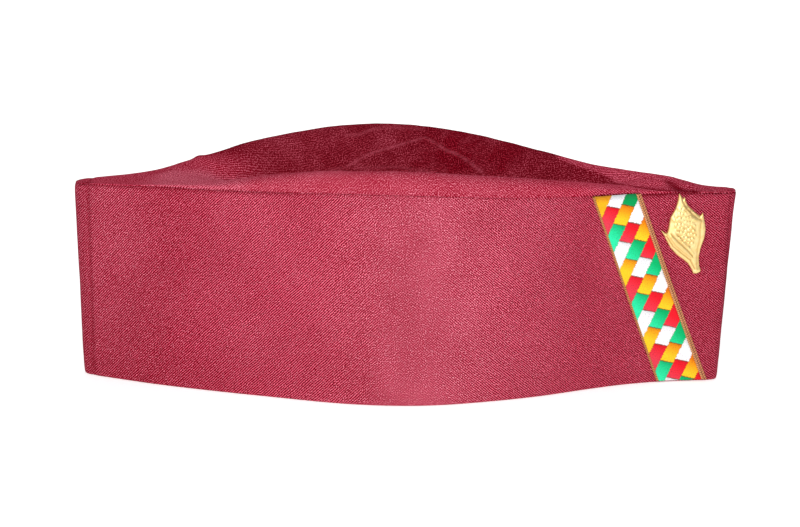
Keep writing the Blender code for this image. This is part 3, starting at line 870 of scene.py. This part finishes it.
satin, across, up = new_sheet("ribbon_cloth", RIBBON_COLUMNS, RIBBON_ROWS)
satin_span = SATIN_TO - SATIN_FROM + 2 * SATIN_UNDER_CORD
over = SATIN_FROM - SATIN_UNDER_CORD + satin_span * across
down = 1 - up
across, from_end = block_at(down, over)
puff = np.sqrt(np.clip(np.sin(math.pi * across), 0, 1)) * ramp(from_end, 0, 0.10)
edge = np.minimum(over - SATIN_FROM, SATIN_TO - over) * RIBBON_WIDTH
lift = RIBBON_LIFT + BLOCK_PUFF * puff * ramp(edge, 0, 0.0006)
lift -= (RIBBON_LIFT - 0.0001) * ramp(down, 0.988, 0.012)
put_vertices(satin, np.array([on_ribbon(*spot)[0] for spot in zip(down, over, lift)]))
set_uv(satin, over * RIBBON_WIDTH, down * RIBBON_LENGTH)
apply_modifier(satin, "SOLIDIFY", thickness=RIBBON_CLOTH, offset=-1)

# The blocks' colours, with lit and painted-shade copies for the painted shading across each block.
SATIN_GREEN = (0.0005, 0.480, 0.150)
LIT_SATIN_GREEN = (0.030, 0.820, 0.400)
SHADED_SATIN_GREEN = (0.0005, 0.330, 0.085)
SATIN_WHITE = (0.93, 0.92, 0.95)
SATIN_YELLOW = (0.98, 0.60, 0.020)
SHADED_SATIN_YELLOW = (0.92, 0.22, 0.001)
SATIN_RED = (0.88, 0.010, 0.022)
LIT_SATIN_RED = (0.78, 0.050, 0.085)
BLOCK_GAP = (0.12, 0.045, 0.015)
FLOSS_SHADE = (0.015, 0.012, 0.018)
satin_weave, tree, surface = shader("ribbon_satin", 0.5)
surface.inputs["Specular IOR Level"].default_value = 0.08
place, sideways, lengthways = on_cloth(tree)
fuzz = math_node(tree, "SUBTRACT", noise_of(tree, place, 1500.0, 1.0), 0.5)
down = math_node(tree, "DIVIDE", lengthways, RIBBON_LENGTH)
over = math_node(tree, "DIVIDE", sideways, RIBBON_WIDTH)


def slanted(counts, fuzziness):
    """Where a place on the ribbon lies across the lanes or along the blocks, with fuzzy edges."""
    down_count, over_count, start = counts
    at = math_node(tree, "MULTIPLY_ADD", over, over_count, start)
    at = math_node(tree, "MULTIPLY_ADD", down, down_count, at)
    return math_node(tree, "MULTIPLY_ADD", fuzz, fuzziness, at)


across = slanted(LANES, 0.24)
along = slanted(BLOCKS, 0.10)
lane = math_node(tree, "MAXIMUM", math_node(tree, "FLOOR", across), FIRST_LANE)
reach = math_node(tree, "MULTIPLY_ADD", lane, LANE_STAGGER, along)
number = math_node(tree, "MAXIMUM", math_node(tree, "FLOOR", reach), BLOCK_ENDS[0] - 1)
number = math_node(tree, "MINIMUM", number, BLOCK_ENDS[1])
count = math_node(tree, "MULTIPLY_ADD", number, -2.0, lane)
which = math_node(tree, "FLOORED_MODULO", math_node(tree, "ADD", count, 3.5), 4.0)
share = math_node(tree, "SUBTRACT", reach, number, clamp=True)


def painted_block_shading(right, up, start):
    """How much painted shade a block gets, growing from the ribbon's left to its right and up the block.
    """
    fullness = math_node(tree, "MULTIPLY_ADD", over, right, start)
    return math_node(tree, "MULTIPLY_ADD", share, up, fullness, clamp=True)


# The green and yellow blocks at the top of the ribbon get painted shade under the crown's seam.
yellow = mix_colours(tree, painted_block_shading(0.45, 1.2, -0.55), SATIN_YELLOW, SHADED_SATIN_YELLOW)
red = mix_colours(tree, painted_block_shading(0.9, 1.0, -0.25), LIT_SATIN_RED, SATIN_RED)
green = mix_colours(tree, painted_block_shading(1.1, 0.7, -0.25), LIT_SATIN_GREEN, SATIN_GREEN)
top_shade = math_node(tree, "MULTIPLY_ADD", down, -18.0, 2.2, clamp=True)
colour = mix_colours(tree, top_shade, green, SHADED_SATIN_GREEN)
yellow = mix_colours(tree, math_node(tree, "MULTIPLY", top_shade, 0.4), yellow, SHADED_SATIN_YELLOW)
for order, satin_colour in ((1, SATIN_WHITE), (2, yellow), (3, red)):
    colour = mix_colours(tree, math_node(tree, "GREATER_THAN", which, order), colour, satin_colour)
floss = noise_of(tree, place, 2600.0, 0.0)
floss = math_node(tree, "MULTIPLY_ADD", floss, 1.2, -0.60, clamp=True)
colour = mix_colours(tree, floss, colour, FLOSS_SHADE)

# The gaps between the blocks are dark, and each block is shaded where the next one covers it.
ends = [math_node(tree, "ABSOLUTE", math_node(tree, "SUBTRACT", reach, end)) for end in BLOCK_ENDS]
end = math_node(tree, "MULTIPLY_ADD", math_node(tree, "MINIMUM", *ends), -32.0, 1.25, clamp=True)
side = math_node(tree, "ABSOLUTE", math_node(tree, "SUBTRACT", math_node(tree, "FRACT", across), 0.5))
side = math_node(tree, "MULTIPLY", math_node(tree, "SUBTRACT", side, 0.465), 14.0, clamp=True)
gap = math_node(tree, "MAXIMUM", end, side)
colour = mix_colours(tree, math_node(tree, "MULTIPLY", gap, 0.85), colour, BLOCK_GAP)
shadow = math_node(tree, "MULTIPLY", math_node(tree, "POWER", share, 4.0), 0.22)
# Painted shadow at the ribbon's top, under the crown's seam.
under_seam = math_node(tree, "MULTIPLY_ADD", down, -14.0, 0.50, clamp=True)
shadow = math_node(tree, "MAXIMUM", shadow, under_seam)
tree.links.new(mix_colours(tree, shadow, colour, FLOSS_SHADE), surface.inputs["Base Color"])
threads = tree.nodes.new("ShaderNodeTexWave")
threads.inputs["Scale"].default_value = 1.0
threads.inputs["Distortion"].default_value = 0.6
stretch = tree.nodes.new("ShaderNodeMapping")
stretch.inputs["Rotation"].default_value = (0, 0, math.radians(48))
stretch.inputs["Scale"].default_value = (700, 700, 700)
tree.links.new(place, stretch.inputs["Vector"])
tree.links.new(stretch.outputs["Vector"], threads.inputs["Vector"])
add_bump(tree, surface, threads.outputs["Fac"], 0.00004, 0.6)
satin.data.materials.append(satin_weave)
satin.data.shade_smooth()

# Each edge cord's name, place across the ribbon, half width, half height, the length of one
# twist and its thread's colours: plain, painted shade between the plies, and a painted glint.
CORDS = (
    ("left_cord", 0.036, 0.00054, 0.00042, 0.0021,
     (0.70, 0.23, 0.05), (0.03, 0.004, 0.002), (0.95, 0.50, 0.20)),
    ("inner_cord", 0.916, 0.00056, 0.00044, 0.0021,
     (0.80, 0.34, 0.12), (0.09, 0.018, 0.006), (1.0, 0.60, 0.30)),
    ("outer_cord", 0.968, 0.00056, 0.00042, -0.0021,
     (0.68, 0.24, 0.09), (0.03, 0.006, 0.003), (0.95, 0.48, 0.22)),
)
CORD_PLIES = 2
CORD_SIDES = 10
CORD_STOPS = 420
CORD_START = 0.002
CORD_REACH = 0.993
PLY_BULGE = 0.16


def edge_cord(name, over, half_width, half_height, twist):
    """A twisted edge cord down the ribbon. Its UV is the length along it and the turn round it."""
    thing, round_share, up = new_sheet(name, CORD_SIDES, CORD_STOPS)
    down = 1 - up
    spots = {}
    for share in np.unique(down):
        spots[share] = on_ribbon(CORD_START + CORD_REACH * share, over, RIBBON_LIFT)
    points = []
    for turn_share, share in zip(round_share, down):
        spot, facing = spots[share]
        sideways = Vector((-facing.y, facing.x, 0)) * half_width
        turn = -2 * math.pi * turn_share
        wound = 2 * math.pi * share * RIBBON_LENGTH / twist
        bulge = 1 + PLY_BULGE * math.cos(CORD_PLIES * (turn + wound))
        points.append(spot + (sideways * math.cos(turn) + facing * half_height * math.sin(turn)) * bulge)
    put_vertices(thing, np.array(points))
    set_uv(thing, down * RIBBON_LENGTH, round_share)
    bpy.ops.object.mode_set(mode="EDIT")
    bpy.ops.mesh.select_all(action="SELECT")
    bpy.ops.mesh.remove_doubles(threshold=0.000002)
    bpy.ops.mesh.fill_holes(sides=0)
    bpy.ops.mesh.normals_make_consistent(inside=False)
    bpy.ops.object.mode_set(mode="OBJECT")
    return thing


def cord_thread(name, base, painted_shade, pale, twist):
    """Metallic thread twisted into a cord, with painted shade between the plies and painted glints."""
    material, tree, surface = shader(name, 0.45, metallic=0.25)
    place, length, turn = on_cloth(tree)
    wind = math_node(tree, "MULTIPLY", length, CORD_PLIES / twist)
    wind = math_node(tree, "MULTIPLY_ADD", turn, -CORD_PLIES, wind)
    wave = math_node(tree, "SINE", math_node(tree, "MULTIPLY", wind, 2 * math.pi))
    ply = math_node(tree, "MULTIPLY_ADD", wave, 0.5, 0.5, clamp=True)
    colour = mix_colours(tree, ply, painted_shade, base)
    speckle = math_node(tree, "SUBTRACT", noise_of(tree, place, 900.0, 1.0), 0.5)
    painted_glint = math_node(tree, "MULTIPLY", speckle, 4.0, clamp=True)
    tree.links.new(mix_colours(tree, painted_glint, colour, pale), surface.inputs["Base Color"])
    return material


cords = []
for name, over, half_width, half_height, twist, base, painted_shade, pale in CORDS:
    cord = edge_cord(name, over, half_width, half_height, twist)
    cord.data.materials.append(cord_thread(f"{name}_thread", base, painted_shade, pale, twist))
    cord.data.shade_smooth()
    cords.append(cord)
select_only(satin)
for cord in cords:
    cord.select_set(True)
bpy.ops.object.join()
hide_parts("ribbon")
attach(satin, "root")


# The badge: a flower bud between two bracts on a short stem, cast in brass with a flat back, with
# painted shade in its hollows and along its rim. It stands just off the cloth on the pin behind it.
BADGE_TILT = math.radians(13)
BADGE_BLANK = 0.001
BADGE_EDGE = 0.0007
BADGE_DOME = 0.0012
BADGE_DOME_REACH = 0.0042
BADGE_VOXEL = 0.00019

# The grains in the bud lie in a spiral. Their number, size and rise, the turn from one to the
# next, and the middle and half sizes of the bed that they fill, as shares of the badge's height.
GRAINS = 46
GRAIN_SIZE = 0.00098
GRAIN_RISE = 0.00030
GRAIN_TURN = 2.39996
BUD_MIDDLE = np.array([-0.020, 0.605])
BUD_HALF_SIZE = np.array([0.130, 0.240])

# The badge's outline, as shares of its height from the foot of its stem.
BADGE_OUTLINE = (
    (-0.002, 1.020), (0.020, 0.970), (0.030, 0.940), (0.042, 0.950), (0.053, 0.966), (0.058, 0.915),
    (0.070, 0.858), (0.122, 0.772), (0.160, 0.720), (0.188, 0.690), (0.208, 0.698), (0.232, 0.722),
    (0.232, 0.634), (0.226, 0.517), (0.189, 0.406), (0.118, 0.292), (0.076, 0.196), (0.060, 0.083),
    (0.068, 0.028), (0.050, 0.004), (0.000, -0.004), (-0.036, 0.012), (-0.042, 0.060), (-0.073, 0.148),
    (-0.120, 0.212), (-0.177, 0.274), (-0.244, 0.392), (-0.273, 0.503), (-0.308, 0.632), (-0.268, 0.588),
    (-0.240, 0.578), (-0.211, 0.646), (-0.168, 0.755), (-0.128, 0.800), (-0.088, 0.843), (-0.050, 0.910),
)

# Lines in the casting: how far each rises, its width, and its course as shares of the height.
# The left bract's come first, then the right one's and then those on the bud's upper edge.
BADGE_LINES = (
    (-0.00022, 0.00032, ((-0.262, 0.545), (-0.205, 0.400), (-0.120, 0.290), (-0.040, 0.190),
                         (-0.005, 0.060))),
    (-0.00016, 0.00028, ((-0.238, 0.560), (-0.180, 0.410), (-0.100, 0.305), (-0.025, 0.215))),
    (0.00014, 0.00050, ((-0.215, 0.520), (-0.160, 0.400), (-0.085, 0.300), (-0.020, 0.200))),
    (-0.00022, 0.00032, ((-0.200, 0.560), (-0.125, 0.430), (-0.055, 0.330), (0.000, 0.230))),
    (0.00014, 0.00045, ((-0.165, 0.560), (-0.095, 0.440), (-0.030, 0.345), (0.015, 0.250))),
    (-0.00016, 0.00038, ((-0.130, 0.545), (-0.065, 0.440), (-0.005, 0.350))),
    (-0.00013, 0.00045, ((0.195, 0.640), (0.150, 0.520), (0.130, 0.420), (0.075, 0.300),
                         (0.040, 0.170), (0.025, 0.060))),
    (0.00014, 0.00045, ((0.205, 0.600), (0.180, 0.480), (0.140, 0.370), (0.085, 0.250))),
    (-0.00016, 0.00042, ((0.020, 0.930), (0.040, 0.830), (0.100, 0.740), (0.160, 0.660), (0.190, 0.640))),
    (0.00014, 0.00055, ((0.045, 0.900), (0.085, 0.800), (0.140, 0.730))),
)
DEEPEST_LINE = -0.00022

# The solid badge tells where the casting stands and which way it faces.
solid = vertices_of(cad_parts["flower_badge"])
badge_back = Vector()
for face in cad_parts["flower_badge"].data.polygons:
    if face.normal.y > 0.9:
        badge_back += face.normal * face.area
outwards = -badge_back.normalized()
upright = (Vector((0, 0, 1)) - outwards * outwards.z).normalized()
level_side = upright.cross(outwards)
rise = upright * math.cos(BADGE_TILT) - level_side * math.sin(BADGE_TILT)
aside = level_side * math.cos(BADGE_TILT) + upright * math.sin(BADGE_TILT)
heights = solid @ np.array(rise)
badge_height = heights.max() - heights.min()
foot_side = (solid @ np.array(aside))[heights < heights.min() + 0.001].mean()
badge_foot = rise * heights.min() + aside * foot_side + outwards * (solid @ np.array(outwards)).min()


def badge_course(shares):
    """Points in the badge's plan from shares of its height."""
    return [(side * badge_height, up * badge_height) for side, up in shares]


outline = badge_course(BADGE_OUTLINE)
bpy.ops.object.select_all(action="DESELECT")
bpy.ops.mesh.primitive_circle_add(vertices=len(outline), radius=1, fill_type="NGON")
badge = bpy.context.object
badge.name = "flower_badge_casting"
flat = vertices_of(badge)
turns = np.arctan2(flat[:, 0], flat[:, 1]) / (2 * math.pi)
order = np.rint(turns * len(outline)).astype(int) % len(outline)
put_vertices(badge, np.array([(*outline[k], 0) for k in order]))
bpy.ops.object.mode_set(mode="EDIT")
bpy.ops.mesh.select_all(action="SELECT")
bpy.ops.mesh.extrude_region_move(TRANSFORM_OT_translate={"value": (0, 0, BADGE_BLANK)})
bpy.ops.mesh.select_all(action="SELECT")
bpy.ops.mesh.normals_make_consistent(inside=False)
bpy.ops.object.mode_set(mode="OBJECT")
apply_modifier(badge, "REMESH", mode="VOXEL", voxel_size=BADGE_VOXEL)
apply_modifier(badge, "SMOOTH", factor=0.5, iterations=4)

# The front is domed and gets its lines and grains, with painted shade in its hollows and rim.
flat = vertices_of(badge)
plan = flat[:, :2]
edge_gap, _ = line_distance(plan, outline + outline[:1])
dome = 1 - np.clip(edge_gap / BADGE_DOME_REACH, 0, 1)
relief_height = BADGE_EDGE + BADGE_DOME * np.sqrt(1 - dome * dome)
recess_shade = np.zeros(len(plan))
for rise_by, width, course in BADGE_LINES:
    gap, _ = line_distance(plan, badge_course(course))
    profile = bell(gap, width)
    relief_height += rise_by * profile
    if rise_by < 0:
        recess_shade = np.maximum(recess_shade, profile * rise_by / DEEPEST_LINE)
grains = np.zeros(len(plan))
for k in range(GRAINS):
    reach, turn = math.sqrt((k + 0.5) / GRAINS), GRAIN_TURN * k
    spot = BUD_MIDDLE + BUD_HALF_SIZE * reach * (math.cos(turn), math.sin(turn))
    gap = np.hypot(*(plan - spot * badge_height).T)
    grain_size = GRAIN_SIZE * (0.75 + 0.5 * (0.618 * k % 1))
    grains = np.maximum(grains, np.clip(1 - (gap / grain_size) ** 2, 0, 1))
relief_height += GRAIN_RISE * grains
from_middle = np.hypot(*((plan / badge_height - BUD_MIDDLE) / BUD_HALF_SIZE).T)
recess_shade = np.maximum(recess_shade, 0.6 * (1 - np.sqrt(grains)) * ramp(1.1 - from_middle, 0, 0.25))
recess_shade = np.maximum(recess_shade, 0.45 * bell(edge_gap, 0.0004))
front = flat[:, 2] / BADGE_BLANK
placed = np.array(badge_foot) + np.outer(plan[:, 0], aside) + np.outer(plan[:, 1], rise)
placed += np.outer(front * relief_height, outwards)
put_vertices(badge, placed)
set_values(badge, "recess_shade", recess_shade * (front > 0.5))

BRASS = (0.88, 0.57, 0.16)
BRASS_PALE = (0.98, 0.84, 0.46)
BRASS_DARK = (0.50, 0.24, 0.04)
badge_brass, tree, surface = shader("badge_brass", 0.46, metallic=0.9)
position = tree.nodes.new("ShaderNodeTexCoord").outputs["Object"]
cloudy = noise_of(tree, position, 500.0, 3.0)
colour = mix_colours(tree, cloudy, BRASS, BRASS_PALE)
# Painted shade in the sunk lines, between the grains and along the rim.
painted_shade_share = math_node(tree, "MULTIPLY", attribute(tree, "recess_shade"), 0.75)
tree.links.new(mix_colours(tree, painted_shade_share, colour, BRASS_DARK), surface.inputs["Base Color"])
add_bump(tree, surface, noise_of(tree, position, 1500.0, 2.0), 0.00008, 0.5)
badge.data.materials.append(badge_brass)
badge.data.shade_smooth()
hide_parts("flower_badge")
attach(badge, "root")


# The badge's pin: a post through the cloth with a round clutch on the inside, in plain brass.
PIN_BRASS = (0.62, 0.44, 0.18)
PIN_PALE = (0.85, 0.66, 0.32)
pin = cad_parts["badge_pin"]
pin_brass, tree, surface = shader("pin_brass", 0.36, metallic=1.0)
position = tree.nodes.new("ShaderNodeTexCoord").outputs["Object"]
colour = mix_colours(tree, noise_of(tree, position, 700.0, 3.0), PIN_BRASS, PIN_PALE)
tree.links.new(colour, surface.inputs["Base Color"])
add_bump(tree, surface, noise_of(tree, position, 2500.0, 2.0), 0.00003, 0.5)
pin.data.materials.clear()
pin.data.materials.append(pin_brass)
